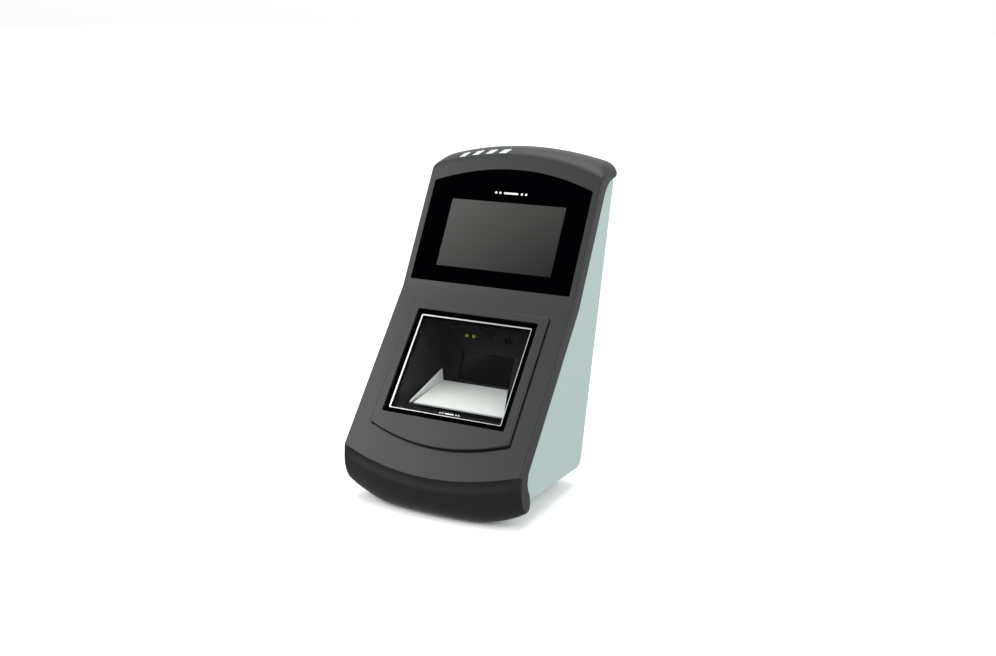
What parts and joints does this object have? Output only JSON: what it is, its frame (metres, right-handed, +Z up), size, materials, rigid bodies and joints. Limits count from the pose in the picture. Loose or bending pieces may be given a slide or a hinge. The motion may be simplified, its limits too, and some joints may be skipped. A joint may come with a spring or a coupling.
{
  "type": "fingerprint scanner terminal",
  "caption": "Wedge-shaped desktop scanning terminal: a display above a framed glass scan window on a charcoal front cover, pale rear housing, status lights in the crown, ports at the back.",
  "frame": {"origin": "middle of the footprint, on the table", "axes": "+X to the terminal's right as its user faces it, +Y to its back, +Z up"},
  "size_m": [0.1432, 0.1739, 0.243],
  "materials": {
    "charcoal": "satin, faintly soft sheen",
    "pale_grey": "satin, cool pale grey",
    "gloss_black": "high gloss",
    "screen": "dark, switched off",
    "clear_glass": "clear, coated",
    "silver": "bright",
    "steel": "plain",
    "black_plastic": "matte",
    "heat_sink_black": "black anodised",
    "rubber": "matte",
    "white_plastic": "matte white",
    "light_lens": "milky, translucent",
    "lamp_lens": "yellow-green, clear",
    "dark_lens": "dark, coated",
    "circuit_board": "green solder mask",
    "flat_cable": "amber film"
  },
  "bodies": {
    "terminal": {"front_cover": "charcoal", "rear_housing": "pale_grey", "base_cover": "pale_grey", "rear_foot_1": "rubber", "rear_foot_2": "rubber", "front_foot_1": "rubber", "front_foot_2": "rubber", "display_panel": "gloss_black", "scan_glass": "clear_glass", "port_plate": "black_plastic", "ethernet_jack": "steel", "usb_jack": "steel", "power_inlet": "black_plastic", "switch_body": "black_plastic", "status_light_1": "light_lens", "status_light_2": "light_lens", "status_light_3": "light_lens", "status_light_4": "light_lens", "glass_trim": "silver", "case_screw_1": "steel", "case_screw_2": "steel", "case_screw_3": "steel", "case_screw_4": "steel", "lcd_module": "screen", "lcd_bracket": "steel", "lcd_cable": "flat_cable", "glass_gasket": "rubber", "scan_hood": "black_plastic", "floor_reflector": "white_plastic", "scan_lamp_1": "lamp_lens", "scan_lamp_2": "lamp_lens", "range_lens": "dark_lens", "beeper_grille": "black_plastic", "beeper": "black_plastic", "lamp_board": "circuit_board", "imager_window": "dark_lens", "imager_body": "black_plastic", "imager_lens": "dark_lens", "imager_board": "circuit_board", "imager_cable": "flat_cable", "main_board": "circuit_board", "board_screw_1": "steel", "board_screw_2": "steel", "board_screw_3": "steel", "board_screw_4": "steel", "processor": "black_plastic", "memory_chip": "black_plastic", "storage_chip": "black_plastic", "radio_shield": "steel", "heat_sink": "heat_sink_black", "coin_cell": "steel", "status_board": "circuit_board", "port_board": "circuit_board", "reset_switch": "black_plastic"},
    "rocker": {"power_rocker": "black_plastic"},
    "button": {"reset_button": "black_plastic"}
  },
  "joints": [
    {"name": "rocker_turn", "type": "hinge", "parent": "terminal", "child": "rocker", "pos_m": [-0.035, 0.02642, 0.05189], "axis": [1, 0, 0], "range_deg": [0, 20]},
    {"name": "button_press", "type": "slide", "parent": "terminal", "child": "button", "axis": [0, 0.9686, -0.2487], "range_m": [-0.0012, 0], "stiffness_N_per_m": 200, "springref_m": 0.001}
  ]
}
